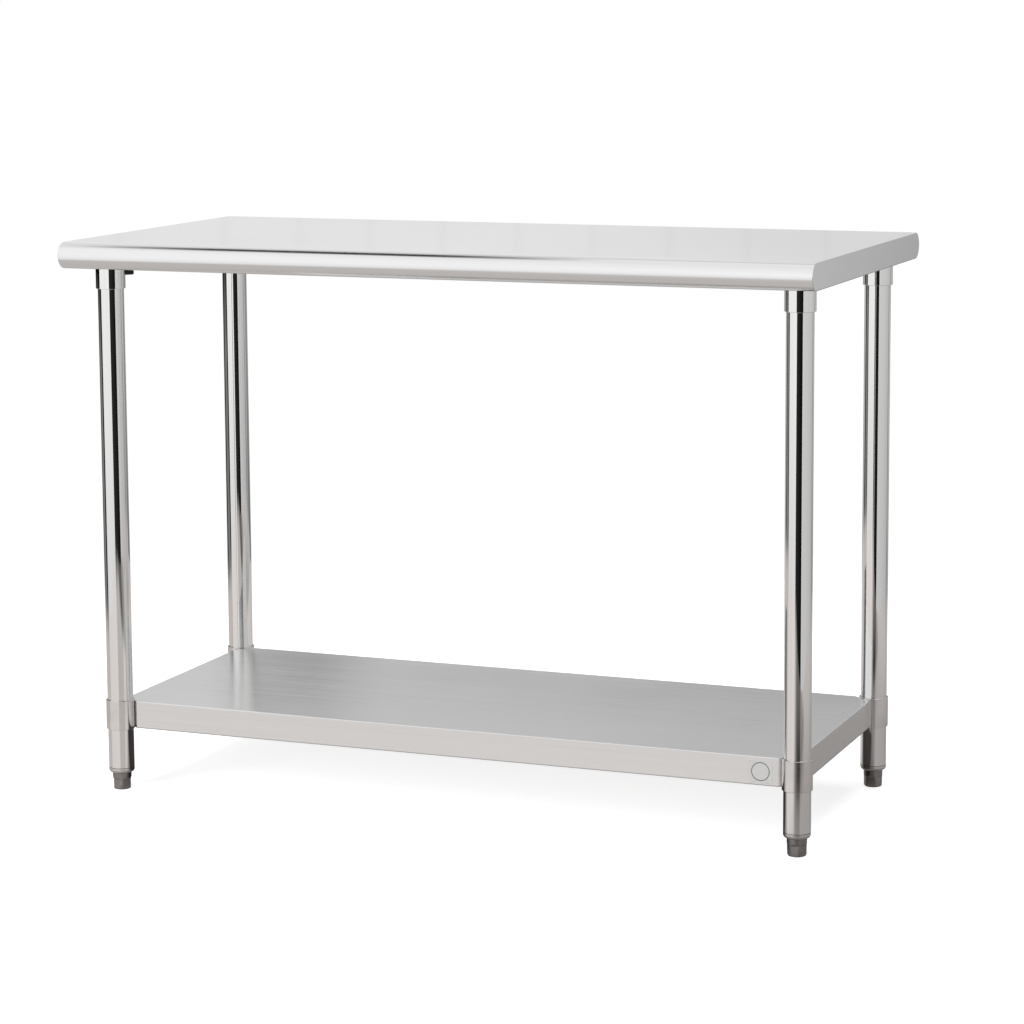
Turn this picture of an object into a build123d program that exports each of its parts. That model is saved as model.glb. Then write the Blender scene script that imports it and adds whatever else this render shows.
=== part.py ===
"""Stainless work table with an adjustable undershelf and levelling feet.

Millimetres, +Z up, +X along the length, -Y is the front. The origin is on the floor at the
centre of the table. Every foot is screwed fully in, so the table stands at its lowest height.
"""

from build123d import *
from math import radians, sqrt, tan
import os

# Driving dimensions
TOP_LENGTH = 1219.2
TOP_WIDTH = 609.6
TABLE_HEIGHT = 889.0
EDGE_HEIGHT = 41.6
SHEET = 1.2
TOP_LIP = 20.0
TOP_END_LIP = 14.0
TOP_BEND_RADIUS = 0.9

LEG_INSET_X = 43.8
LEG_INSET_Y = 88.4
LEG_DIAMETER = 41.3
LEG_WALL = 1.2
LEG_BOTTOM = 37.0

SOCKET_DIAMETER = 46.8
SOCKET_BOTTOM = 811.0
SOCKET_FIT_GAP = 0.25
SOCKET_PLATE = 3.0
SOCKET_PLATE_LENGTH = 80.0
SOCKET_PLATE_CORNER = 4.0

CHANNEL_SHEET = 1.5
CHANNEL_HEIGHT = 20.0
CROSS_CHANNEL_CROWN = 50.0
CROSS_CHANNEL_FLANGE = 13.0
CROSS_CHANNEL_LENGTH = 520.0
CENTER_CHANNEL_CROWN = 60.0
CENTER_CHANNEL_FLANGE = 20.0
CENTER_CHANNEL_GAP = 3.0

STUD_DIAMETER = 6.0
STUD_LENGTH = 10.0
STUD_PITCH = 225.0
STUD_COUNT = 5
STUD_HOLE_GAP = 0.3
NUT_ACROSS_FLATS = 10.0
NUT_HEIGHT = 5.0

SHELF_TOP = 145.4
SHELF_FLANGE_HEIGHT = 43.8
SHELF_LIP = 12.0
SHELF_BEND_RADIUS = 1.6
SHELF_CHANNEL_HEIGHT = 18.0
SHELF_CHANNEL_CROWN = 50.0
SHELF_CHANNEL_FLANGE = 18.0
SHELF_CHANNEL_LENGTH = 1060.0
CORNER_CUT = 29.0

COLLAR_DIAMETER = 46.0
COLLAR_SLIDE_GAP = 0.35
COLLAR_BOTTOM = 100.0
COLLAR_TOP = 147.6
COLLAR_WELD_GAP = 0.1
RIM_CHAMFER = 0.5

SET_SCREW_DIAMETER = 8.0
SET_SCREW_REACH = 37.5
SET_SCREW_GAP = 0.15
SET_SCREW_THREAD_GAP = 0.1
SET_SCREW_HEX = 4.0
SET_SCREW_HEX_DEPTH = 4.0
SET_SCREW_ROUND = 1.2
SOCKET_SCREW_HEIGHT = 835.0
COLLAR_SCREW_HEIGHT = 119.0

INSERT_RING_BOTTOM = 28.0
INSERT_RING_ROUND = 5.0
INSERT_SEAM = 0.4
INSERT_PLUG_TOP = 62.0
INSERT_PLUG_GAP = 0.15

FOOT_HEIGHT = 27.6
FOOT_DIAMETER = 30.6
FOOT_BASE_DIAMETER = 29.0
FOOT_BASE_ROUND = 3.5
FOOT_ACROSS_FLATS = 26.8
FOOT_FLAT_HEIGHT = 17.0
FOOT_FLAT_RUNOUT = 30.0
FOOT_BORE_BOTTOM = 13.7
FOOT_SPINDLE_DIAMETER = 10.0
FOOT_SPINDLE_BOTTOM = 14.0
FOOT_SPINDLE_TOP = 64.0
FOOT_SPINDLE_CHAMFER = 1.0
SPINDLE_RUNNING_GAP = 0.05

LABEL_WIDTH = 36.0
LABEL_HEIGHT = 34.0
LABEL_THICKNESS = 0.3
LABEL_CORNER = 2.0
LABEL_X = 509.0
LABEL_Z = 122.4

# Derived places
LEG_X = TOP_LENGTH / 2 - LEG_INSET_X
LEG_Y = TOP_WIDTH / 2 - LEG_INSET_Y
LEG_RADIUS = LEG_DIAMETER / 2
TOP_UNDERSIDE = TABLE_HEIGHT - SHEET
CROWN_UNDERSIDE = TOP_UNDERSIDE - CHANNEL_HEIGHT
SOCKET_TOP = CROWN_UNDERSIDE - SOCKET_PLATE
SHELF_UNDERSIDE = SHELF_TOP - SHEET
SHELF_FLANGE_BOTTOM = SHELF_TOP - SHELF_FLANGE_HEIGHT
CROSS_CHANNEL_HALF = CROSS_CHANNEL_CROWN / 2 + CROSS_CHANNEL_FLANGE
CENTER_CHANNEL_LENGTH = 2 * (LEG_X - CROSS_CHANNEL_HALF - CENTER_CHANNEL_GAP)
STUD_Y = CENTER_CHANNEL_CROWN / 2 + CENTER_CHANNEL_FLANGE / 2
SET_SCREW_HOLE = SET_SCREW_DIAMETER / 2 + SET_SCREW_THREAD_GAP
SPINDLE_BORE = FOOT_SPINDLE_DIAMETER / 2 + SPINDLE_RUNNING_GAP

CORNERS = {
    "front_left": (-LEG_X, -LEG_Y),
    "front_right": (LEG_X, -LEG_Y),
    "rear_left": (-LEG_X, LEG_Y),
    "rear_right": (LEG_X, LEG_Y),
}

os.makedirs("parts", exist_ok=True)


def save(piece, name):
    """Label one finished piece and write it to its own file."""
    piece.part.label = name
    export_step(piece.part, f"parts/{name}.step")


def level(x, y, z):
    """A horizontal plane with its origin at a point."""
    return Plane(origin=(x, y, z), x_dir=(1, 0, 0), z_dir=(0, 0, 1))


def upright(x, y):
    """A vertical plane through a leg axis: sketch X is the radius and sketch Y is the height."""
    return Plane(origin=(x, y, 0), x_dir=(1, 0, 0), z_dir=(0, -1, 0))


def inward(x, y, z):
    """A plane whose normal points from a leg axis diagonally towards the table's centre."""
    return Plane(origin=(x, y, z), z_dir=(-x / abs(x), -y / abs(y), 0))


def tube(x, y, bottom, top, outer_radius, inner_radius, rim_chamfer=0.0):
    """A straight round tube on a leg axis, with its outer rims broken by a small chamfer."""
    with BuildPart() as body:
        with BuildSketch(level(x, y, bottom)):
            Circle(outer_radius)
        extrude(amount=top - bottom)
        if rim_chamfer:
            chamfer(body.edges().filter_by(GeomType.CIRCLE), length=rim_chamfer)
        with BuildSketch(level(x, y, bottom)):
            Circle(inner_radius)
        extrude(amount=top - bottom, mode=Mode.SUBTRACT)
    return body.part


def hat_channel(plane, crown, flange, height, length):
    """A hat-section channel: crown at the bottom of the sketch, flanges out at its top."""
    with BuildPart() as channel:
        with BuildSketch(plane):
            Rectangle(crown, height, align=(Align.CENTER, Align.MIN))
            with Locations((0, CHANNEL_SHEET)):
                Rectangle(
                    crown - 2 * CHANNEL_SHEET,
                    height,
                    align=(Align.CENTER, Align.MIN),
                    mode=Mode.SUBTRACT,
                )
            for side in (-1, 1):
                with Locations((side * (crown + flange) / 2, height)):
                    Rectangle(flange, CHANNEL_SHEET, align=(Align.CENTER, Align.MAX))
        extrude(amount=length / 2, both=True)
    return channel.part


# Work surface: one folded sheet with a half-round nose along the front and rear, a flat
# D-shaped flange closing each end, and lips turned in along the bottom of every edge.
with BuildPart() as top_sheet:
    with BuildSketch(Plane.YZ):
        with Locations((0, TABLE_HEIGHT - EDGE_HEIGHT / 2)):
            SlotOverall(TOP_WIDTH, EDGE_HEIGHT)
    extrude(amount=TOP_LENGTH / 2, both=True)
    end_faces = top_sheet.faces().filter_by(Axis.X)
    fillet(end_faces.edges(), radius=TOP_BEND_RADIUS)
    with BuildSketch(Plane.YZ):
        with Locations((0, TABLE_HEIGHT - EDGE_HEIGHT / 2)):
            SlotOverall(TOP_WIDTH - 2 * SHEET, EDGE_HEIGHT - 2 * SHEET)
    extrude(amount=TOP_LENGTH / 2 - SHEET, both=True, mode=Mode.SUBTRACT)
    with BuildSketch(level(0, 0, TABLE_HEIGHT - EDGE_HEIGHT)):
        Rectangle(TOP_LENGTH - 2 * TOP_END_LIP, TOP_WIDTH - EDGE_HEIGHT - 2 * TOP_LIP)
    extrude(amount=SHEET, mode=Mode.SUBTRACT)
save(top_sheet, "top_sheet")

# Stiffening channels under the work surface: one lengthwise, one across over each pair of legs.
center_plane = Plane(origin=(0, 0, CROWN_UNDERSIDE), x_dir=(0, 1, 0), z_dir=(1, 0, 0))
lengthwise_hat = hat_channel(
    center_plane, CENTER_CHANNEL_CROWN, CENTER_CHANNEL_FLANGE, CHANNEL_HEIGHT, CENTER_CHANNEL_LENGTH
)
stud_places = [
    (STUD_PITCH * (index - (STUD_COUNT - 1) / 2), side * STUD_Y)
    for index in range(STUD_COUNT)
    for side in (-1, 1)
]
with BuildPart() as top_channel_center:
    add(lengthwise_hat)
    with Locations([(x, y, TOP_UNDERSIDE) for x, y in stud_places]):
        Hole(radius=STUD_DIAMETER / 2 + STUD_HOLE_GAP, depth=2 * CHANNEL_SHEET)
save(top_channel_center, "top_channel_center")

for side_name, x in (("left", -LEG_X), ("right", LEG_X)):
    cross_plane = Plane(origin=(x, 0, CROWN_UNDERSIDE), x_dir=(1, 0, 0), z_dir=(0, -1, 0))
    with BuildPart() as cross_channel:
        add(hat_channel(
            cross_plane,
            CROSS_CHANNEL_CROWN,
            CROSS_CHANNEL_FLANGE,
            CHANNEL_HEIGHT,
            CROSS_CHANNEL_LENGTH,
        ))
    save(cross_channel, f"top_channel_{side_name}")

# Weld studs on the underside of the sheet, and the nuts that hold the lengthwise channel to them.
with BuildPart() as channel_studs:
    with BuildSketch(level(0, 0, TOP_UNDERSIDE - STUD_LENGTH)):
        with Locations(stud_places):
            Circle(STUD_DIAMETER / 2)
    extrude(amount=STUD_LENGTH)
save(channel_studs, "channel_studs")

with BuildPart() as channel_nuts:
    with BuildSketch(level(0, 0, TOP_UNDERSIDE - CHANNEL_SHEET - NUT_HEIGHT)):
        with Locations(stud_places):
            RegularPolygon(NUT_ACROSS_FLATS / 2, 6, major_radius=False)
            Circle(STUD_DIAMETER / 2, mode=Mode.SUBTRACT)
    extrude(amount=NUT_HEIGHT)
save(channel_nuts, "channel_nuts")

# Leg sockets: a cup on a mounting plate under each end of a cross channel, tapped for a set
# screw on the side that faces the table's centre.
SOCKET_RADIUS = SOCKET_DIAMETER / 2
SOCKET_BORE = LEG_RADIUS + SOCKET_FIT_GAP
for corner, (x, y) in CORNERS.items():
    with BuildPart() as leg_socket:
        add(tube(x, y, SOCKET_BOTTOM, SOCKET_TOP, SOCKET_RADIUS, SOCKET_BORE, RIM_CHAMFER))
        with BuildSketch(level(x, y, SOCKET_TOP)):
            RectangleRounded(CROSS_CHANNEL_CROWN, SOCKET_PLATE_LENGTH, SOCKET_PLATE_CORNER)
        extrude(amount=SOCKET_PLATE)
        with BuildSketch(inward(x, y, SOCKET_SCREW_HEIGHT)):
            Circle(SET_SCREW_HOLE)
        extrude(amount=SOCKET_DIAMETER, mode=Mode.SUBTRACT)
    save(leg_socket, f"leg_socket_{corner}")

# Legs: plain round tubes from the foot inserts up to the socket plates.
for corner, (x, y) in CORNERS.items():
    with BuildPart() as leg:
        add(tube(x, y, LEG_BOTTOM, SOCKET_TOP, LEG_RADIUS, LEG_RADIUS - LEG_WALL))
    save(leg, f"leg_{corner}")

# Undershelf: a tray folded down on all four sides, its corners cut round the leg collars, with
# a short slanted tab at each flange end and a lip turned in along the bottom.
COLLAR_RADIUS = COLLAR_DIAMETER / 2
COLLAR_BORE = LEG_RADIUS + COLLAR_SLIDE_GAP
CORNER_POINTS = list(CORNERS.values())
with BuildPart() as shelf_sheet:
    with BuildSketch(level(0, 0, SHELF_FLANGE_BOTTOM)):
        Rectangle(2 * LEG_X, 2 * LEG_Y)
        with Locations(CORNER_POINTS):
            RegularPolygon(CORNER_CUT, 4, mode=Mode.SUBTRACT)
    extrude(amount=SHELF_FLANGE_HEIGHT)
    top_edges = shelf_sheet.faces().sort_by(Axis.Z)[-1].edges()
    fillet(top_edges, radius=SHELF_BEND_RADIUS)
    with BuildSketch(level(0, 0, SHELF_FLANGE_BOTTOM + SHEET)):
        Rectangle(2 * (LEG_X - SHEET), 2 * (LEG_Y - SHEET))
        with Locations(CORNER_POINTS):
            RegularPolygon(CORNER_CUT + SHEET * sqrt(2), 4, mode=Mode.SUBTRACT)
    extrude(amount=SHELF_FLANGE_HEIGHT - 2 * SHEET, mode=Mode.SUBTRACT)
    with BuildSketch(level(0, 0, SHELF_FLANGE_BOTTOM)):
        Rectangle(2 * (LEG_X - SHELF_LIP), 2 * (LEG_Y - SHELF_LIP))
    extrude(amount=SHEET, mode=Mode.SUBTRACT)
    with BuildSketch(level(0, 0, SHELF_FLANGE_BOTTOM)):
        with Locations(CORNER_POINTS):
            Circle(COLLAR_RADIUS + COLLAR_WELD_GAP)
    extrude(amount=SHELF_FLANGE_HEIGHT, mode=Mode.SUBTRACT)
save(shelf_sheet, "shelf_sheet")

shelf_channel_plane = Plane(
    origin=(0, 0, SHELF_UNDERSIDE - SHELF_CHANNEL_HEIGHT), x_dir=(0, 1, 0), z_dir=(1, 0, 0)
)
with BuildPart() as shelf_channel:
    add(hat_channel(
        shelf_channel_plane,
        SHELF_CHANNEL_CROWN,
        SHELF_CHANNEL_FLANGE,
        SHELF_CHANNEL_HEIGHT,
        SHELF_CHANNEL_LENGTH,
    ))
save(shelf_channel, "shelf_channel")

# Shelf collars: they slide on the legs and are clamped by a set screw under the shelf.
for corner, (x, y) in CORNERS.items():
    with BuildPart() as shelf_collar:
        add(tube(x, y, COLLAR_BOTTOM, COLLAR_TOP, COLLAR_RADIUS, COLLAR_BORE, RIM_CHAMFER))
        with BuildSketch(inward(x, y, COLLAR_SCREW_HEIGHT)):
            Circle(SET_SCREW_HOLE)
        extrude(amount=COLLAR_DIAMETER, mode=Mode.SUBTRACT)
    save(shelf_collar, f"shelf_collar_{corner}")


def set_screws(height, start):
    """Four hexagon-socket set screws, one at each leg, pointing at the leg's axis."""
    length = SET_SCREW_REACH - start
    with BuildPart() as screws:
        for x, y in CORNER_POINTS:
            seat = inward(x, y, height).offset(start)
            with BuildSketch(seat):
                Circle(SET_SCREW_DIAMETER / 2)
            extrude(amount=length)
        outer_faces = [
            screws.faces().filter_by(GeomType.PLANE).sort_by_distance((x, y, height))[1]
            for x, y in CORNER_POINTS
        ]
        fillet([face.edge() for face in outer_faces], radius=SET_SCREW_ROUND)
        for x, y in CORNER_POINTS:
            with BuildSketch(inward(x, y, height).offset(SET_SCREW_REACH)):
                RegularPolygon(SET_SCREW_HEX / 2, 6, major_radius=False)
            extrude(amount=-SET_SCREW_HEX_DEPTH, mode=Mode.SUBTRACT)
    return screws


save(set_screws(SOCKET_SCREW_HEIGHT, LEG_RADIUS + SET_SCREW_GAP), "socket_set_screws")
save(set_screws(COLLAR_SCREW_HEIGHT, LEG_RADIUS + COLLAR_SLIDE_GAP), "collar_set_screws")

# Foot inserts: a plug in the end of each leg with a visible ring under it, bored for the spindle.
PLUG_RADIUS = LEG_RADIUS - LEG_WALL - INSERT_PLUG_GAP
for corner, (x, y) in CORNERS.items():
    with BuildPart() as foot_insert:
        with BuildSketch(level(x, y, INSERT_RING_BOTTOM)):
            Circle(LEG_RADIUS)
        extrude(amount=LEG_BOTTOM - INSERT_RING_BOTTOM)
        rims = foot_insert.edges().filter_by(GeomType.CIRCLE).sort_by(Axis.Z)
        fillet(rims[0], radius=INSERT_RING_ROUND)
        chamfer(rims[-1], length=INSERT_SEAM)
        with BuildSketch(level(x, y, LEG_BOTTOM)):
            Circle(PLUG_RADIUS)
        extrude(amount=INSERT_PLUG_TOP - LEG_BOTTOM)
        with BuildSketch(level(x, y, INSERT_RING_BOTTOM)):
            Circle(SPINDLE_BORE)
        extrude(amount=INSERT_PLUG_TOP - INSERT_RING_BOTTOM, mode=Mode.SUBTRACT)
    save(foot_insert, f"foot_insert_{corner}")

# Foot spindles: the threaded rods that carry the feet.
for corner, (x, y) in CORNERS.items():
    with BuildPart() as foot_spindle:
        with BuildSketch(level(x, y, FOOT_SPINDLE_BOTTOM)):
            Circle(FOOT_SPINDLE_DIAMETER / 2)
        extrude(amount=FOOT_SPINDLE_TOP - FOOT_SPINDLE_BOTTOM)
        chamfer(foot_spindle.edges().filter_by(GeomType.CIRCLE), length=FOOT_SPINDLE_CHAMFER)
    save(foot_spindle, f"foot_spindle_{corner}")

# Feet: a slightly tapered round body with a rounded base. Six wrench flats are cut into its
# lower part, and each flat runs out upwards in an arch.
FLAT_RUNOUT_HEIGHT = FOOT_HEIGHT - FOOT_FLAT_HEIGHT
RUNOUT_TOP_RADIUS = FOOT_ACROSS_FLATS / 2 + FLAT_RUNOUT_HEIGHT * tan(radians(FOOT_FLAT_RUNOUT))
for corner, (x, y) in CORNERS.items():
    with BuildPart() as foot:
        with BuildSketch(level(x, y, 0)):
            RegularPolygon(FOOT_ACROSS_FLATS / 2, 6, major_radius=False)
        extrude(amount=FOOT_FLAT_HEIGHT)
        with BuildSketch(level(x, y, FOOT_FLAT_HEIGHT)):
            RegularPolygon(FOOT_ACROSS_FLATS / 2, 6, major_radius=False)
        with BuildSketch(level(x, y, FOOT_HEIGHT)):
            RegularPolygon(RUNOUT_TOP_RADIUS, 6, major_radius=False)
        loft()
        with BuildSketch(upright(x, y)) as half_profile:
            with BuildLine():
                Polyline(
                    (0, 0),
                    (FOOT_BASE_DIAMETER / 2, 0),
                    (FOOT_DIAMETER / 2, FOOT_HEIGHT),
                    (0, FOOT_HEIGHT),
                    close=True,
                )
            make_face()
            base_corner = half_profile.vertices().sort_by_distance((FOOT_BASE_DIAMETER / 2, 0))[0]
            fillet(base_corner, radius=FOOT_BASE_ROUND)
        revolve(axis=Axis((x, y, 0), (0, 0, 1)), mode=Mode.INTERSECT)
        with BuildSketch(level(x, y, FOOT_BORE_BOTTOM)):
            Circle(SPINDLE_BORE)
        extrude(amount=FOOT_HEIGHT - FOOT_BORE_BOTTOM, mode=Mode.SUBTRACT)
    save(foot, f"foot_{corner}")

# Blank label on the shelf's front flange.
label_plane = Plane(origin=(LABEL_X, -LEG_Y, LABEL_Z), x_dir=(1, 0, 0), z_dir=(0, -1, 0))
with BuildPart() as shelf_label:
    with BuildSketch(label_plane):
        RectangleRounded(LABEL_WIDTH, LABEL_HEIGHT, LABEL_CORNER)
    extrude(amount=LABEL_THICKNESS)
save(shelf_label, "shelf_label")
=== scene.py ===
"""Looks of the stainless work table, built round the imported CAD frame.

Metres, Z up, floor at z = 0, the table's front towards -Y. Sheet grain runs along X.
"""
import math

import bpy
from mathutils import Matrix, Vector


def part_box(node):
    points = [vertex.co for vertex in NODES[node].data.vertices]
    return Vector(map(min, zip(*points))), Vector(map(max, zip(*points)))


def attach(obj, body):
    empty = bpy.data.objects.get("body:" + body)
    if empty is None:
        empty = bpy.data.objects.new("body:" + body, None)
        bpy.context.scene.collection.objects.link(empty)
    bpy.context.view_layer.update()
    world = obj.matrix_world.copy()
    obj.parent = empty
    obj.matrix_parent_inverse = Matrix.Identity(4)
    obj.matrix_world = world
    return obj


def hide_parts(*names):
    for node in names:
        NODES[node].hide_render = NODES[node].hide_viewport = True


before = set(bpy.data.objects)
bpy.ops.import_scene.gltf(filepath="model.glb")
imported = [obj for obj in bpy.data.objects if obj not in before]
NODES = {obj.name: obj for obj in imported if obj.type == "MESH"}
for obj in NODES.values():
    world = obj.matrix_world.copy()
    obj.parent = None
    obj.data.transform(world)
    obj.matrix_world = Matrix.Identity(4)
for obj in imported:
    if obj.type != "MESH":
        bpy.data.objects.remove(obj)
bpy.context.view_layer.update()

CORNERS = ("front_left", "front_right", "rear_left", "rear_right")


def add_object(name, data):
    thing = bpy.data.objects.new(name, data)
    bpy.context.collection.objects.link(thing)
    return thing


# ---------------------------------------------------------------- camera

# The photograph's camera. Azimuth, tilt and roll are in degrees, the lens in millimetres, and
# the shift in sensor widths. The distance and the sidestep are measured along the floor.
CAMERA_AZIMUTH = 21.637
CAMERA_TILT = 7.747
CAMERA_ROLL = -0.349
CAMERA_DISTANCE = 4.875
CAMERA_SIDESTEP = 0.0277
CAMERA_HEIGHT = 1.2768
CAMERA_LENS = 108.93
CAMERA_SENSOR = 36
CAMERA_SHIFT = -0.0996
CAMERA_REACH = 60


def add_camera():
    yaw, tilt, roll = (math.radians(a) for a in (CAMERA_AZIMUTH, CAMERA_TILT, CAMERA_ROLL))
    across = Vector((math.cos(yaw), math.sin(yaw), 0))
    back = Vector((math.sin(yaw), -math.cos(yaw), 0))
    place = back * CAMERA_DISTANCE + across * CAMERA_SIDESTEP
    place.z = CAMERA_HEIGHT
    forward = -back * math.cos(tilt) - Vector((0, 0, math.sin(tilt)))
    up = across.cross(forward)
    right = across * math.cos(roll) + up * math.sin(roll)
    top = up * math.cos(roll) - across * math.sin(roll)
    turn = Matrix((right, top, -forward)).transposed()
    data = bpy.data.cameras.new("photo_camera")
    data.sensor_width = CAMERA_SENSOR
    data.lens = CAMERA_LENS
    data.shift_y = CAMERA_SHIFT
    data.clip_end = CAMERA_REACH
    camera = add_object("photo_camera", data)
    camera.matrix_world = Matrix.Translation(place) @ turn.to_4x4()
    bpy.context.scene.camera = camera


# ---------------------------------------------------------------- shader nodes

# Nearly all of a noise texture's values lie between these two.
NOISE_LOW = 0.3
NOISE_HIGH = 0.7

# The colour sockets of a Mix node: it also has hidden ones of the same names for other types.
MIX_SHARE, MIX_FIRST, MIX_SECOND = 0, 6, 7
MIX_RESULT = 2


class Shader:
    """A node tree under construction. The methods that compute something return its socket."""

    def __init__(self, name, kind="ShaderNodeBsdfPrincipled"):
        self.material = bpy.data.materials.new(name)
        self.material.use_nodes = True
        self.tree = self.material.node_tree
        self.tree.nodes.clear()
        self.surface = self.add(kind)
        self.output = self.add("ShaderNodeOutputMaterial")
        self.show(self.surface.outputs[0])

    def add(self, kind, **settings):
        node = self.tree.nodes.new(kind)
        for key, value in settings.items():
            setattr(node, key, value)
        return node

    def link(self, source, target):
        self.tree.links.new(source, target)

    def show(self, surface):
        """Makes a surface the one that the material shows."""
        self.link(surface, self.output.inputs["Surface"])

    def feed(self, socket, value):
        """Sets a socket to a number or colour, or links another socket to it."""
        if isinstance(value, bpy.types.NodeSocket):
            self.link(value, socket)
        else:
            socket.default_value = value

    def set(self, **values):
        """Feeds inputs of the surface, by their names with _ for a space."""
        for key, value in values.items():
            self.feed(self.surface.inputs[key.replace("_", " ")], value)

    def place(self, scale=(1, 1, 1)):
        """The object's own coordinates in metres, stretched."""
        where = self.add("ShaderNodeTexCoord")
        stretch = self.add("ShaderNodeVectorMath", operation="MULTIPLY")
        self.link(where.outputs["Object"], stretch.inputs[0])
        stretch.inputs[1].default_value = scale
        return stretch.outputs[0]

    def axes(self, vector):
        """The X, Y and Z of a vector."""
        parts = self.add("ShaderNodeSeparateXYZ")
        self.link(vector, parts.inputs[0])
        return parts.outputs

    def normal(self):
        return self.add("ShaderNodeNewGeometry").outputs["Normal"]

    def noise(self, scale, detail=2.0):
        """Noise from 0 to 1 that has scale cells to the metre along X, Y and Z."""
        node = self.add("ShaderNodeTexNoise")
        self.link(self.place(scale), node.inputs["Vector"])
        node.inputs["Scale"].default_value = 1.0
        node.inputs["Detail"].default_value = detail
        return node.outputs["Fac"]

    def math(self, operation, first, second=0.0):
        node = self.add("ShaderNodeMath", operation=operation)
        self.feed(node.inputs[0], first)
        self.feed(node.inputs[1], second)
        return node.outputs[0]

    def spread(self, value, low, high, start=NOISE_LOW, end=NOISE_HIGH):
        """Maps a value between start and end to the range low to high, and holds it there."""
        node = self.add("ShaderNodeMapRange")
        self.feed(node.inputs["Value"], value)
        node.inputs["From Min"].default_value = start
        node.inputs["From Max"].default_value = end
        node.inputs["To Min"].default_value = low
        node.inputs["To Max"].default_value = high
        return node.outputs[0]

    def blend(self, share, first, second):
        """The first colour at a share of 0, the second at 1."""
        node = self.add("ShaderNodeMix", data_type="RGBA")
        self.feed(node.inputs[MIX_SHARE], share)
        self.feed(node.inputs[MIX_FIRST], first)
        self.feed(node.inputs[MIX_SECOND], second)
        return node.outputs[MIX_RESULT]

    def vary(self, share, shade, dimmest):
        """A shade that is multiplied by dimmest at a share of 0, and is itself at 1."""
        dimmed = tuple(c * dimmest for c in shade)
        return self.blend(share, dimmed + (1.0,), shade + (1.0,))

    def mix_surfaces(self, share, first, second):
        """The first surface at a share of 0, the second at 1. None stands for black."""
        node = self.add("ShaderNodeMixShader")
        self.link(share, node.inputs[0])
        for surface, socket in ((first, node.inputs[1]), (second, node.inputs[2])):
            if surface is not None:
                self.link(surface, socket)
        return node.outputs[0]

    def add_surfaces(self, first, second):
        node = self.add("ShaderNodeAddShader")
        self.link(first, node.inputs[0])
        self.link(second, node.inputs[1])
        return node.outputs[0]

    def transparent(self):
        return self.add("ShaderNodeBsdfTransparent").outputs[0]

    def bump(self, height, strength, distance):
        node = self.add("ShaderNodeBump")
        self.feed(node.inputs["Height"], height)
        node.inputs["Strength"].default_value = strength
        node.inputs["Distance"].default_value = distance
        self.link(node.outputs[0], self.surface.inputs["Normal"])


# ---------------------------------------------------------------- materials of the table

# How far the small relief of a surface stands out.
FILM_RELIEF = 0.0001
FINE_RELIEF = 0.0002
COARSE_RELIEF = 0.0003

# A quarter turn makes the highlight stretch across the grain. A full turn is 1.
QUARTER_TURN = 0.25

# A face whose normal has more than this along X, either way, is on an end of the sheet.
END_FACE = 0.8

# Upward part of the normal where the rounded edge is fully curved, and where the flat top starts.
CURVED_UP = 0.93
FLAT_UP = 0.995

# The painted dark reflection along the bend at a sheet's bottom, standing for the dark underneath
# mirrored in a bend radius, and the dark line at the height where a leg meets its insert.
BEND_REFLECTION_HEIGHT = 0.0016
BEND_REFLECTION_SHADE = (0.40, 0.395, 0.39, 1)
SEAM_LINE_WIDTH = 0.0009
SEAM_LINE_TINT = (0.05, 0.048, 0.045, 1)

# The plain ring on the label: radius and width of its line.
LABEL_RING_RADIUS = 0.0137
LABEL_RING_LINE = 0.0012
LABEL_INK = (0.10, 0.10, 0.10, 1)

POLISHED_STEEL = (0.93, 0.925, 0.915)
TOP_STEEL = (0.93, 0.93, 0.93)
SHELF_STEEL = (0.90, 0.90, 0.90)
COLLAR_STEEL = (0.90, 0.885, 0.875)
INSERT_STEEL = (0.78, 0.765, 0.75)
PLATED_STEEL = (0.70, 0.70, 0.69)
FIXING_STEEL = (0.66, 0.66, 0.65)


def grain_direction(s):
    """Along X, and along Z on the two ends, where the same sheet is bent down."""
    at_end = s.math("GREATER_THAN", s.math("ABSOLUTE", s.axes(s.normal())[0]), END_FACE)
    along = s.add("ShaderNodeCombineXYZ")
    s.link(s.math("SUBTRACT", 1.0, at_end), along.inputs[0])
    s.link(at_end, along.inputs[2])
    return along.outputs[0]


def curved_part(s):
    """1 on the rounded front and rear edges, 0 on the flat top."""
    return s.spread(s.axes(s.normal())[2], 1.0, 0.0, CURVED_UP, FLAT_UP)


def height_of(s):
    """Height above the floor at rest."""
    return s.axes(s.place())[2]


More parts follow.
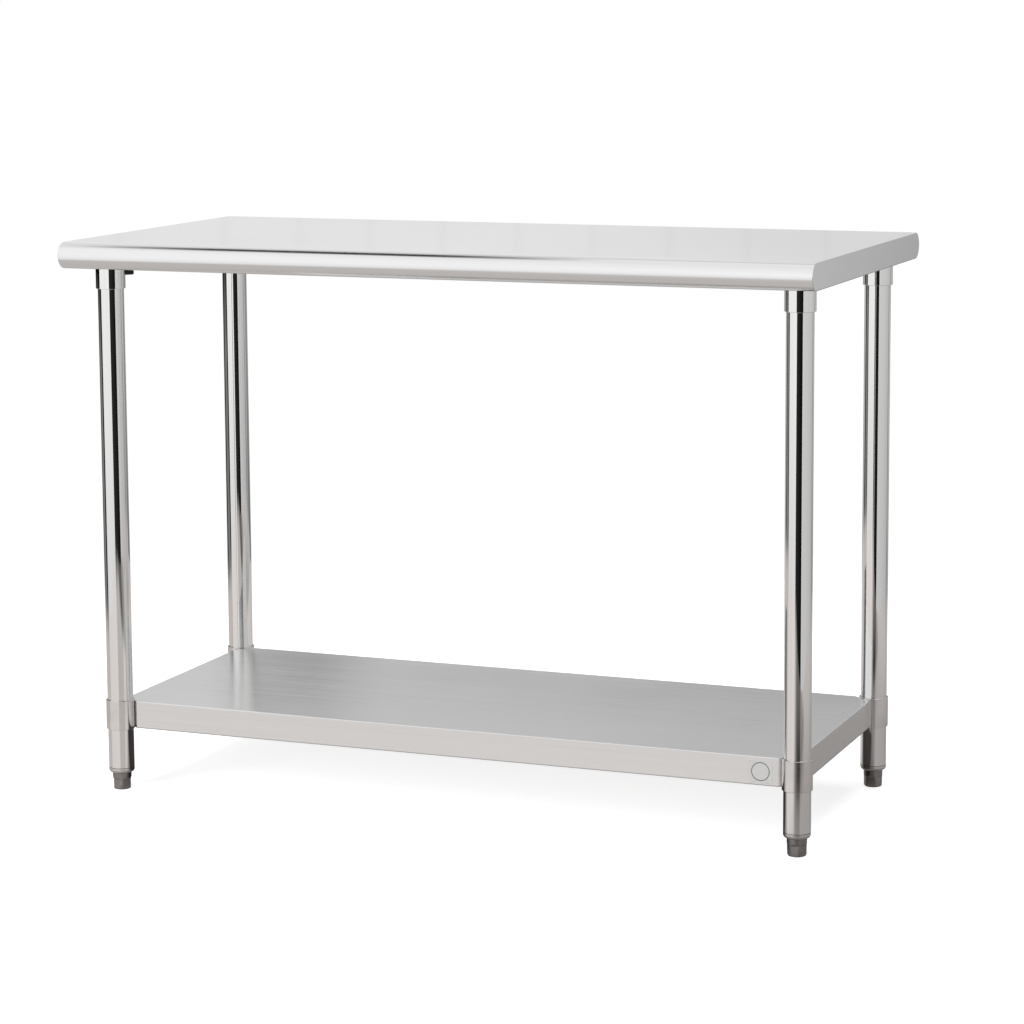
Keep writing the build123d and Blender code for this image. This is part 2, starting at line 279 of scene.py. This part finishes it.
def brushed_sheet(name, shade, roughness, anisotropy, grain_depth, bottom, roll_depth=0.0):
    """Sheet finished with a long-grain belt: fine lines, a few heavier ones, faint handling marks.
    A painted dark reflection darkens it along the bend at its bottom, and roll_depth adds the long
    shallow waves that rolling leaves in the rounded edge."""
    s = Shader(name)
    fine = s.noise((2.2, 620.0, 620.0), detail=3.0)
    heavy = s.noise((0.7, 150.0, 150.0))
    clouds = s.noise((3.0, 3.0, 3.0), detail=3.0)
    tone = s.math("ADD", s.spread(fine, -0.5, 0.5), s.spread(heavy, -0.5, 0.5))
    tint = s.vary(s.spread(tone, 0.0, 1.0, -1.0, 1.0), shade, dimmest=0.95)
    # Painted dark reflection: the base colour turns to the bend shade in a thin band along the
    # bottom bend.
    bend_reflection = s.spread(height_of(s), 1.0, 0.0, bottom + BEND_REFLECTION_HEIGHT * 0.5, bottom + BEND_REFLECTION_HEIGHT)
    s.set(Base_Color=s.blend(bend_reflection, tint, BEND_REFLECTION_SHADE), Metallic=1.0)
    wear = s.math("ADD", s.spread(clouds, -0.015, 0.015), s.spread(heavy, -0.01, 0.01))
    s.set(Roughness=s.math("ADD", wear, roughness), Anisotropic=anisotropy)
    s.set(Anisotropic_Rotation=QUARTER_TURN, Tangent=grain_direction(s))
    height = s.math("MULTIPLY", s.math("ADD", fine, heavy), grain_depth)
    if roll_depth:
        waves = s.math("MULTIPLY", s.noise((0.35, 190.0, 190.0), detail=1.0), roll_depth)
        height = s.math("ADD", height, s.math("MULTIPLY", waves, curved_part(s)))
    s.bump(height, 1.0, FINE_RELIEF)
    return s.material


def polished_tube(name, shade, roughness, drawing):
    """Mirror-polished tube with the faint straight lines of its drawing."""
    s = Shader(name)
    lines = s.noise((420.0, 420.0, 0.8))
    haze = s.noise((9.0, 9.0, 5.0), detail=3.0)
    s.set(Base_Color=s.vary(s.spread(lines, 0.0, 1.0), shade, dimmest=0.95), Metallic=1.0)
    s.set(Roughness=s.math("ADD", s.spread(haze, -0.012, 0.012), roughness))
    s.bump(lines, drawing, FINE_RELIEF)
    return s.material


def satin_metal(name, shade, roughness, seam=None):
    """Spun or ground metal: fine lines round the part, soft patches of wear, and a dark line at
    one height, given by seam."""
    s = Shader(name)
    rings = s.noise((6.0, 6.0, 900.0))
    patches = s.noise((30.0, 30.0, 30.0), detail=3.0)
    tint = s.vary(s.spread(patches, 0.0, 1.0), shade, dimmest=0.88)
    if seam is not None:
        off_seam = s.math("ABSOLUTE", s.math("SUBTRACT", height_of(s), seam))
        # A thin dark line in the base colour at the seam height, where the leg meets the insert.
        seam_line = s.spread(off_seam, 1.0, 0.0, SEAM_LINE_WIDTH * 0.5, SEAM_LINE_WIDTH)
        tint = s.blend(seam_line, tint, SEAM_LINE_TINT)
    s.set(Base_Color=tint, Metallic=1.0)
    s.set(Roughness=s.math("ADD", s.spread(rings, -0.03, 0.03), roughness))
    s.bump(rings, 0.05, FINE_RELIEF)
    return s.material


def galvanised(name):
    """Zinc-coated channel: pale spangle over grey."""
    s = Shader(name)
    spangle = s.add("ShaderNodeTexVoronoi")
    s.link(s.place((110.0, 110.0, 110.0)), spangle.inputs["Vector"])
    share = s.spread(s.noise((40.0, 40.0, 40.0)), 0.0, 1.0)
    tint = s.blend(share, (0.50, 0.51, 0.52, 1), (0.62, 0.63, 0.64, 1))
    s.set(Base_Color=tint, Metallic=1.0)
    s.set(Roughness=s.spread(spangle.outputs["Distance"], 0.32, 0.46, 0.0, 0.6))
    s.bump(spangle.outputs["Distance"], 0.08, COARSE_RELIEF)
    return s.material


def cast_foot(name):
    """Dark grey-brown plated casting: soft gloss, faintly pitted."""
    s = Shader(name)
    grit = s.noise((700.0, 700.0, 700.0))
    patches = s.noise((60.0, 60.0, 60.0), detail=3.0)
    tint = s.blend(s.spread(patches, 0.0, 1.0), (0.28, 0.265, 0.26, 1), (0.40, 0.38, 0.37, 1))
    s.set(Base_Color=tint, Metallic=1.0, Roughness=s.spread(patches, 0.12, 0.20))
    s.bump(grit, 0.04, COARSE_RELIEF)
    return s.material


def black_oxide(name):
    """Blackened screws: nearly black, dull and slightly grainy."""
    s = Shader(name)
    grit = s.noise((900.0, 900.0, 900.0))
    tint = s.blend(s.spread(grit, 0.0, 1.0), (0.012, 0.012, 0.013, 1), (0.030, 0.029, 0.028, 1))
    s.set(Base_Color=tint, Roughness=s.spread(grit, 0.34, 0.48))
    s.bump(grit, 0.05, FINE_RELIEF)
    return s.material


def label_film(name, middle):
    """Satin film, slightly fibrous, with one thin plain ring printed round its middle."""
    s = Shader(name)
    fibre = s.noise((500.0, 500.0, 500.0), detail=3.0)
    tint = s.blend(s.spread(fibre, 0.0, 1.0), (0.90, 0.89, 0.88, 1), (0.97, 0.96, 0.95, 1))
    reach = s.add("ShaderNodeVectorMath", operation="DISTANCE")
    s.link(s.place(), reach.inputs[0])
    reach.inputs[1].default_value = middle
    off_line = s.math("ABSOLUTE", s.math("SUBTRACT", reach.outputs["Value"], LABEL_RING_RADIUS))
    ink = s.spread(off_line, 1.0, 0.0, LABEL_RING_LINE * 0.4, LABEL_RING_LINE * 0.6)
    s.set(Base_Color=s.blend(ink, tint, LABEL_INK), Roughness=s.spread(fibre, 0.32, 0.42))
    s.bump(fibre, 0.05, FILM_RELIEF)
    return s.material


def bottom_of(node):
    low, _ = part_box(node)
    return low[2]


def middle_of(node):
    low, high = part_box(node)
    return (Vector(low) + Vector(high)) / 2


def dress(material, *names):
    for name in names:
        for slot in NODES[name].material_slots:
            slot.material = material


def at_corners(stem):
    return [stem + "_" + corner for corner in CORNERS]


def dress_cad():
    top = brushed_sheet("brushed_top", TOP_STEEL, roughness=0.13, anisotropy=0.85,
                        grain_depth=0.03, bottom=bottom_of("top_sheet"), roll_depth=0.3)
    shelf = brushed_sheet("brushed_shelf", SHELF_STEEL, roughness=0.25, anisotropy=0.9,
                          grain_depth=0.03, bottom=bottom_of("shelf_sheet"))
    leg = polished_tube("polished_tube", POLISHED_STEEL, roughness=0.04, drawing=0.02)
    socket = polished_tube("polished_socket", POLISHED_STEEL, roughness=0.05, drawing=0.02)
    collar = satin_metal("satin_collar", COLLAR_STEEL, roughness=0.13)
    insert = satin_metal("satin_insert", INSERT_STEEL, roughness=0.16,
                         seam=bottom_of("leg_front_left"))
    spindle = satin_metal("plated_steel", PLATED_STEEL, roughness=0.22)
    fixings = satin_metal("plated_fixings", FIXING_STEEL, roughness=0.28)
    dress(top, "top_sheet")
    dress(shelf, "shelf_sheet")
    dress(leg, *at_corners("leg"))
    dress(socket, *at_corners("leg_socket"))
    dress(collar, *at_corners("shelf_collar"))
    dress(insert, *at_corners("foot_insert"))
    dress(spindle, *at_corners("foot_spindle"))
    dress(cast_foot("cast_foot"), *at_corners("foot"))
    dress(galvanised("galvanised_channel"),
          "top_channel_center", "top_channel_left", "top_channel_right", "shelf_channel")
    dress(fixings, "channel_studs", "channel_nuts")
    dress(black_oxide("black_oxide"), "socket_set_screws", "collar_set_screws")
    dress(label_film("label_film", middle_of("shelf_label")), "shelf_label")


# ---------------------------------------------------------------- screw threads

THREAD_PITCH = 0.0015
THREAD_DEPTH = 0.0009
THREAD_SIDES = 28
RINGS_PER_TURN = 6


def threaded_rod(name, low, high):
    """A closed rod from low to high with a real helical thread, its crests at the CAD radius."""
    centre = (low + high) / 2
    crest = (high.x - low.x) / 2
    length = high.z - low.z
    count = round(length / THREAD_PITCH * RINGS_PER_TURN)
    points = []
    for ring in range(count + 1):
        rise = length * ring / count
        taper = min(rise, length - rise, THREAD_DEPTH) - THREAD_DEPTH
        for side in range(THREAD_SIDES):
            turn = math.tau * side / THREAD_SIDES
            groove = 0.5 - 0.5 * math.cos(math.tau * rise / THREAD_PITCH - turn)
            radius = crest + min(taper, -THREAD_DEPTH * groove)
            x = centre.x + radius * math.cos(turn)
            y = centre.y + radius * math.sin(turn)
            points.append((x, y, low.z + rise))
    faces = []
    for below in range(0, count * THREAD_SIDES, THREAD_SIDES):
        above = below + THREAD_SIDES
        for side in range(THREAD_SIDES):
            after = (side + 1) % THREAD_SIDES
            faces.append((below + side, below + after, above + after, above + side))
    faces.append(tuple(reversed(range(THREAD_SIDES))))
    faces.append(tuple(range(count * THREAD_SIDES, (count + 1) * THREAD_SIDES)))
    mesh = bpy.data.meshes.new(name)
    mesh.from_pydata(points, [], faces)
    mesh.polygons.foreach_set("use_smooth", [len(face) == 4 for face in faces])
    return add_object(name, mesh)


def add_threads():
    """The CAD's spindles are plain cylinders, so threaded rods of the same size replace them."""
    material = satin_metal("thread_steel", PLATED_STEEL, roughness=0.22)
    for corner in CORNERS:
        node = "foot_spindle_" + corner
        low, high = (Vector(v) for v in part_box(node))
        rod = threaded_rod("threaded_rod_" + corner, low, high)
        rod.data.materials.append(material)
        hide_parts(node)
        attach(rod, "spindle_" + corner)


# ---------------------------------------------------------------- studio: shades

def light_level(shade):
    """Linear radiance of a shade given from 0 to 255, as it reads in a finished picture."""
    share = shade / 255
    return ((share + 0.055) / 1.055) ** 2.4


def grey(level):
    return (level, level, level, 1.0)


def ease(value, start, end):
    """Smooth step from 0 at start to 1 at end."""
    share = min(max((value - start) / (end - start), 0.0), 1.0)
    return share * share * (3 - 2 * share)


def bell(value, low, high, soft):
    """1 between low and high, easing to 0 over the distance soft on either side."""
    return ease(value, low - soft, low) * (1 - ease(value, high, high + soft))


# ---------------------------------------------------------------- studio: panels

# The vertex colours that the panels glow with.
GLOW_LAYER = "glow"

# Upright seams of the backdrop: distance, phase, half width, and the light lost in them.
SEAM_PITCH = 0.176
SEAM_PHASE = 10.0
SEAM_HALF_WIDTH = 0.012
SEAM_DIMMING = 0.05


def mesh_glow(name):
    """Emission in the mesh's own colours, and the node that reads them."""
    s = Shader(name, "ShaderNodeEmission")
    colours = s.add("ShaderNodeVertexColor", layer_name=GLOW_LAYER)
    s.set(Color=colours.outputs["Color"])
    return s, colours


def panel_glow(name):
    s, _ = mesh_glow(name)
    return s.material


def panelled_glow(name):
    """Glow with the faint upright seams of a panelled backdrop."""
    s, _ = mesh_glow(name)
    along = s.math("ADD", s.axes(s.place())[0], SEAM_PHASE)
    seam = s.spread(s.math("PINGPONG", along, SEAM_PITCH / 2), 1.0, 0.0, 0.0, SEAM_HALF_WIDTH)
    s.set(Strength=s.math("SUBTRACT", 1.0, s.math("MULTIPLY", seam, SEAM_DIMMING)))
    return s.material


def colour_grid(name, rows, material):
    """A panel made from rows of (point, colour). Only the metal sees it."""
    width = len(rows[0])
    cells = [cell for row in rows for cell in row]
    faces = []
    for line in range(len(rows) - 1):
        for point in range(line * width, line * width + width - 1):
            faces.append((point, point + 1, point + 1 + width, point + width))
    mesh = bpy.data.meshes.new(name)
    mesh.from_pydata([point for point, _ in cells], [], faces)
    layer = mesh.color_attributes.new(GLOW_LAYER, "FLOAT_COLOR", "POINT")
    for item, (_, colour) in zip(layer.data, cells):
        item.color = colour
    mesh.materials.append(material)
    panel = add_object(name, mesh)
    panel.visible_camera = False
    panel.visible_diffuse = False
    panel.visible_shadow = False


# A wall stands along a line of (x, y, shade), and its profile of (height, gain) gives the rows.
KEY_LINE = ((-2.0, -0.86, 250), (-1.3, -1.5, 250), (-0.2, -2.52, 252), (0.0, -2.7, 254),
            (0.1, -2.8, 266))
KEY_PROFILE = ((-1.2, 0.55), (-0.4, 0.66), (0.0, 0.76), (0.4, 0.91), (0.9, 1.0), (1.8, 1.0),
               (3.3, 0.92))
GAP_LINE = ((0.1, -2.8, 38), (0.6, -2.1, 38), (1.28, -1.12, 12))
GAP_PROFILE = ((-1.2, 0.6), (0.0, 1.0), (0.88, 1.0))
SIDE_LINE = ((1.28, -1.12, 236), (1.34, -1.05, 210), (1.75, -0.6, 207), (2.3, 0.2, 202),
             (2.3, 1.0, 192), (2.05, 1.6, 186))
SIDE_PROFILE = ((-1.2, 0.82), (0.0, 0.9), (0.6, 1.0), (3.3, 1.05))
LOW_LEFT_LINE = ((-2.05, 0.45, 120), (-2.1, 0.0, 125), (-2.05, -0.45, 120))
LOW_LEFT_PROFILE = ((0.0, 1.0), (0.5, 1.0), (0.7, 0.1))
# The dark gap at the front and the low left wall both end below the work surface, so that it
# sees these two bright walls over them.
UPPER_LEFT_LINE = ((-2.0, 1.1, 216), (-2.2, 0.1, 214), (-2.0, -0.86, 222))
UPPER_FRONT_LINE = ((0.1, -2.8, 240), (0.8, -2.1, 236), (1.28, -1.12, 226))
UPPER_PROFILE = ((0.88, 0.1), (0.96, 1.0), (3.3, 1.0))

WALLS = (("key_wall", KEY_LINE, KEY_PROFILE),
         ("gap_wall", GAP_LINE, GAP_PROFILE),
         ("side_wall", SIDE_LINE, SIDE_PROFILE),
         ("low_left_wall", LOW_LEFT_LINE, LOW_LEFT_PROFILE),
         ("upper_left_wall", UPPER_LEFT_LINE, UPPER_PROFILE),
         ("upper_front_wall", UPPER_FRONT_LINE, UPPER_PROFILE))


def add_wall(name, line, profile, material):
    rows = [[(Vector((x, y, height)), grey(light_level(shade) * gain)) for x, y, shade in line]
            for height, gain in profile]
    colour_grid(name, rows, material)


# The backdrop. Its left end bends forward by BACK_BEND between the two distances from the middle.
BACK_DEPTH = 1.8
BACK_BEND = 0.7
BACK_BEND_START = 1.3
BACK_HALF_WIDTH = 2.0
BACK_COLUMNS = 49
BACK_HEIGHTS = (-1.2, 0.0, 0.15, 0.3, 0.45, 0.6, 0.75, 0.85, 0.95, 1.08, 1.2, 1.35, 1.5, 1.65,
                1.8, 2.0, 3.3)

# Shades of the backdrop's low part and high part, each with its (change, start, end) along x.
BACK_LOW_SHADE = 197
BACK_LOW_CHANGES = ((-14, -1.35, -1.0), (-42, -1.7, 0.1), (52, 0.6, 1.35))
BACK_HIGH_SHADE = 236
BACK_HIGH_CHANGES = ((-11, -0.7, 0.2),)
# The low part passes into the high part between these heights, and is dimmed near the floor.
BACK_LOW_END = 0.76
BACK_HIGH_START = 0.98
BACK_FOOT_DIMMING = 30
BACK_FOOT_START = 0.5
BACK_FOOT_END = -0.1
# The stand, a narrow soft dark patch: low, high and softness along x and in height.
STAND_DIMMING = 130
STAND_ALONG = (-1.26, -1.19, 0.16)
STAND_HEIGHT = (0.3, 0.72, 0.15)


def changed(shade, changes, x):
    for change, start, end in changes:
        shade += change * ease(x, start, end)
    return shade


def back_shade(x, height):
    """Bright above the table top, dimmer and falling to the right below it, with a narrow soft
    dark stand low down."""
    low = changed(BACK_LOW_SHADE, BACK_LOW_CHANGES, x)
    low -= BACK_FOOT_DIMMING * ease(-height, -BACK_FOOT_START, -BACK_FOOT_END)
    high = changed(BACK_HIGH_SHADE, BACK_HIGH_CHANGES, x)
    shade = low + (high - low) * ease(height, BACK_LOW_END, BACK_HIGH_START)
    return shade - STAND_DIMMING * bell(x, *STAND_ALONG) * bell(height, *STAND_HEIGHT)


def add_back_wall(material):
    rows = []
    for height in BACK_HEIGHTS:
        row = []
        for step in range(BACK_COLUMNS):
            x = BACK_HALF_WIDTH * (2 * step / (BACK_COLUMNS - 1) - 1)
            y = BACK_DEPTH - BACK_BEND * ease(-x, BACK_BEND_START, BACK_HALF_WIDTH)
            row.append((Vector((x, y, height)), grey(light_level(back_shade(x, height)))))
        rows.append(row)
    colour_grid("back_wall", rows, material)


# The ceiling: a grid of square cells that starts at its left front corner.
CEILING_HEIGHT = 3.3
CEILING_LEFT = -3.0
CEILING_FRONT = -3.2
CEILING_STEP = 0.2
CEILING_COLUMNS = 31
CEILING_ROWS = 28
CEILING_SHADE = 238
# It gains this much towards the front, and loses some in a band behind the table.
CEILING_FRONT_GAIN = 8
CEILING_GAIN_START = 0.2
CEILING_GAIN_END = 3.0
CEILING_BAND_DIMMING = 30
CEILING_BAND = (0.9, 1.3, 0.3)
# The opening: its shade, and low, high and softness along x and y.
OPENING_SHADE = 40
OPENING_ALONG = (-1.65, -0.95, 0.27)
OPENING_ACROSS = (-0.45, 0.35, 0.3)


def ceiling_shade(x, y):
    """Brighter towards the front, with a dark opening over the left of the table."""
    shade = CEILING_SHADE + CEILING_FRONT_GAIN * ease(-y, CEILING_GAIN_START, CEILING_GAIN_END)
    shade -= CEILING_BAND_DIMMING * bell(y, *CEILING_BAND)
    opening = bell(x, *OPENING_ALONG) * bell(y, *OPENING_ACROSS)
    return shade - (shade - OPENING_SHADE) * opening


def add_ceiling(material):
    rows = []
    for line in range(CEILING_ROWS):
        y = line * CEILING_STEP + CEILING_FRONT
        row = []
        for step in range(CEILING_COLUMNS):
            x = step * CEILING_STEP + CEILING_LEFT
            level = light_level(ceiling_shade(x, y))
            row.append((Vector((x, y, CEILING_HEIGHT)), grey(level)))
        rows.append(row)
    colour_grid("ceiling", rows, material)


# ---------------------------------------------------------------- studio: floors

# The floor that the metal sees: a square grid a little below the real floor, whose alpha fades
# out between the two distances from the middle.
MIRROR_DROP = 0.002
MIRROR_STEP = 0.1
MIRROR_LINES = 49
MIRROR_REACH = 2.4
MIRROR_FADE_START = 1.7
MIRROR_WARMTH = (1.0, 0.945, 0.915)
GLOSS_TINT = (1.0, 0.96, 0.94, 1)
GLOSS_ROUGHNESS = 0.22
GLOSS_IOR = 1.4

# Half of the shelf's length and depth, and the shadow painted on the floor under it, which
# fades out between two distances from the middle along x and along y.
OUTLINE_X = 0.57
OUTLINE_Y = 0.22
PAINTED_SHADOW_X = (0.52, 0.64)
PAINTED_SHADOW_Y = (0.17, 0.29)
PAINTED_SHADOW_DEPTH = 0.93

# The light of the floor itself, and the least share of it that is left anywhere.
POOL_LEVEL = 0.49
POOL_LEAST = 0.05
# What it loses at the right-hand end: less of it further out from the outline.
RIGHT_START = 0.42
RIGHT_END = 0.62
RIGHT_DIMMING = 0.5
RIGHT_RECOVERY = 0.25
RECOVERY_START = 0.3
RECOVERY_END = 1.2
# What it loses off the front right corner: low, high and softness along x, and start and end
# of the distance in front of the middle line.
CORNER_DIMMING = 0.47
CORNER_ALONG = (0.75, 1.3, 0.25)
CORNER_FRONT = (0.4, 0.7)

# The floor that the camera sees: its own light, and the distances from the middle between
# which it fades into the white background.
PALE_GLOW = 0.82
PALE_FADE_START = 1.2
PALE_END = 2.2


def painted_shelf_shadow(s):
    """Mask of the painted shadow: 1 on the floor under the shelf, 0 outside its outline, with a
    soft edge.
    """
    axes = s.axes(s.place())
    along = s.spread(s.math("ABSOLUTE", axes[0]), 1.0, 0.0, *PAINTED_SHADOW_X)
    across = s.spread(s.math("ABSOLUTE", axes[1]), 1.0, 0.0, *PAINTED_SHADOW_Y)
    return s.math("MULTIPLY", along, across)


def glossy_glow(name):
    """Glow under a gloss that grows towards grazing angles. It carries a painted shadow under the
    shelf, and it fades out by the alpha of the mesh's colours."""
    s, colours = mesh_glow(name)
    gloss = s.add("ShaderNodeBsdfGlossy")
    gloss.inputs["Color"].default_value = GLOSS_TINT
    gloss.inputs["Roughness"].default_value = GLOSS_ROUGHNESS
    edge = s.add("ShaderNodeFresnel")
    edge.inputs["IOR"].default_value = GLOSS_IOR
    sheen = s.mix_surfaces(edge.outputs[0], None, gloss.outputs[0])
    lit = s.add_surfaces(s.surface.outputs[0], sheen)
    # Painted shadow: glow and gloss fade towards black on the floor under the shelf.
    with_painted_shadow = s.mix_surfaces(s.math("MULTIPLY", painted_shelf_shadow(s), PAINTED_SHADOW_DEPTH), lit, None)
    s.show(s.mix_surfaces(colours.outputs["Alpha"], s.transparent(), with_painted_shadow))
    return s.material


def pool_light(x, y):
    """Light that the floor itself gives: even, but weaker round the table's right-hand end and
    weakest off its front right corner."""
    out_x = max(abs(x) - OUTLINE_X, 0.0)
    out_y = max(abs(y) - OUTLINE_Y, 0.0)
    recovery = RIGHT_RECOVERY * ease(math.hypot(out_x, out_y), RECOVERY_START, RECOVERY_END)
    dimmer = ease(x, RIGHT_START, RIGHT_END) * (RIGHT_DIMMING - recovery)
    dimmer += CORNER_DIMMING * bell(x, *CORNER_ALONG) * ease(-y, *CORNER_FRONT)
    return POOL_LEVEL * max(1 - dimmer, POOL_LEAST)


def add_mirror_floor(material):
    rows = []
    lines = [step * MIRROR_STEP - MIRROR_REACH for step in range(MIRROR_LINES)]
    for y in lines:
        row = []
        for x in lines:
            level = pool_light(x, y)
            alpha = 1 - ease(math.hypot(x, y), MIRROR_FADE_START, MIRROR_REACH)
            colour = tuple(level * c for c in MIRROR_WARMTH) + (alpha,)
            row.append((Vector((x, y, -MIRROR_DROP)), colour))
        rows.append(row)
    colour_grid("mirror_floor", rows, material)


def pale_floor():
    """Nearly white, darker only in shadow, fading into the white background before it ends."""
    s = Shader("pale_floor", "ShaderNodeEmission")
    mottle = s.noise((1.5, 1.5, 1.5))
    s.set(Color=s.blend(mottle, (0.985, 0.985, 0.985, 1), (1.0, 1.0, 1.0, 1)), Strength=PALE_GLOW)
    lit = s.add_surfaces(s.surface.outputs[0], s.add("ShaderNodeBsdfDiffuse").outputs[0])
    reach = s.add("ShaderNodeVectorMath", operation="LENGTH")
    s.link(s.place(), reach.inputs[0])
    faded = s.spread(reach.outputs["Value"], 0.0, 1.0, PALE_FADE_START, PALE_END)
    s.show(s.mix_surfaces(faded, lit, s.transparent()))
    return s.material


def add_floor():
    """One quarter under each foot, riding with it, so that a foot that is screwed out still
    stands on the floor."""
    material = pale_floor()
    for corner in CORNERS:
        x = PALE_END if "right" in corner else -PALE_END
        y = PALE_END if "rear" in corner else -PALE_END
        mesh = bpy.data.meshes.new("floor_" + corner)
        mesh.from_pydata([(0, 0, 0), (x, 0, 0), (x, y, 0), (0, y, 0)], [], [(0, 1, 2, 3)])
        mesh.materials.append(material)
        quarter = add_object("floor_" + corner, mesh)
        quarter.visible_glossy = False
        quarter.visible_diffuse = False
        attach(quarter, "spindle_" + corner)


# ---------------------------------------------------------------- studio: lamps and background

def add_lamp(name, place, size, watts):
    """A round lamp aimed at the origin. Neither the camera nor the metal sees it."""
    data = bpy.data.lights.new(name, "AREA")
    data.shape = "DISK"
    data.size = size
    data.energy = watts
    lamp = add_object(name, data)
    lamp.location = place
    lamp.rotation_mode = "QUATERNION"
    lamp.rotation_quaternion = Vector(place).to_track_quat("Z", "Y")
    lamp.visible_camera = False
    lamp.visible_glossy = False


def add_world():
    """White behind the object for the camera, black between the panels for the metal."""
    world = bpy.data.worlds.new("studio")
    world.use_nodes = True
    tree = world.node_tree
    background = tree.nodes["Background"]
    path = tree.nodes.new("ShaderNodeLightPath")
    tree.links.new(path.outputs["Is Camera Ray"], background.inputs["Strength"])
    background.inputs["Color"].default_value = (1, 1, 1, 1)
    bpy.context.scene.world = world


def build_studio():
    panels = panel_glow("panel_glow")
    for name, line, profile in WALLS:
        add_wall(name, line, profile, panels)
    add_back_wall(panelled_glow("panel_seams"))
    add_ceiling(panels)
    add_mirror_floor(glossy_glow("mirror_floor_glow"))
    add_floor()
    add_lamp("overhead", place=(0.0, -0.4, 3.6), size=4.0, watts=110)
    add_lamp("front_fill", place=(-1.2, -3.2, 1.2), size=2.5, watts=90)
    add_world()
    bpy.context.scene.view_settings.view_transform = "Standard"


# ---------------------------------------------------------------- assembly

add_camera()
dress_cad()
add_threads()
build_studio()
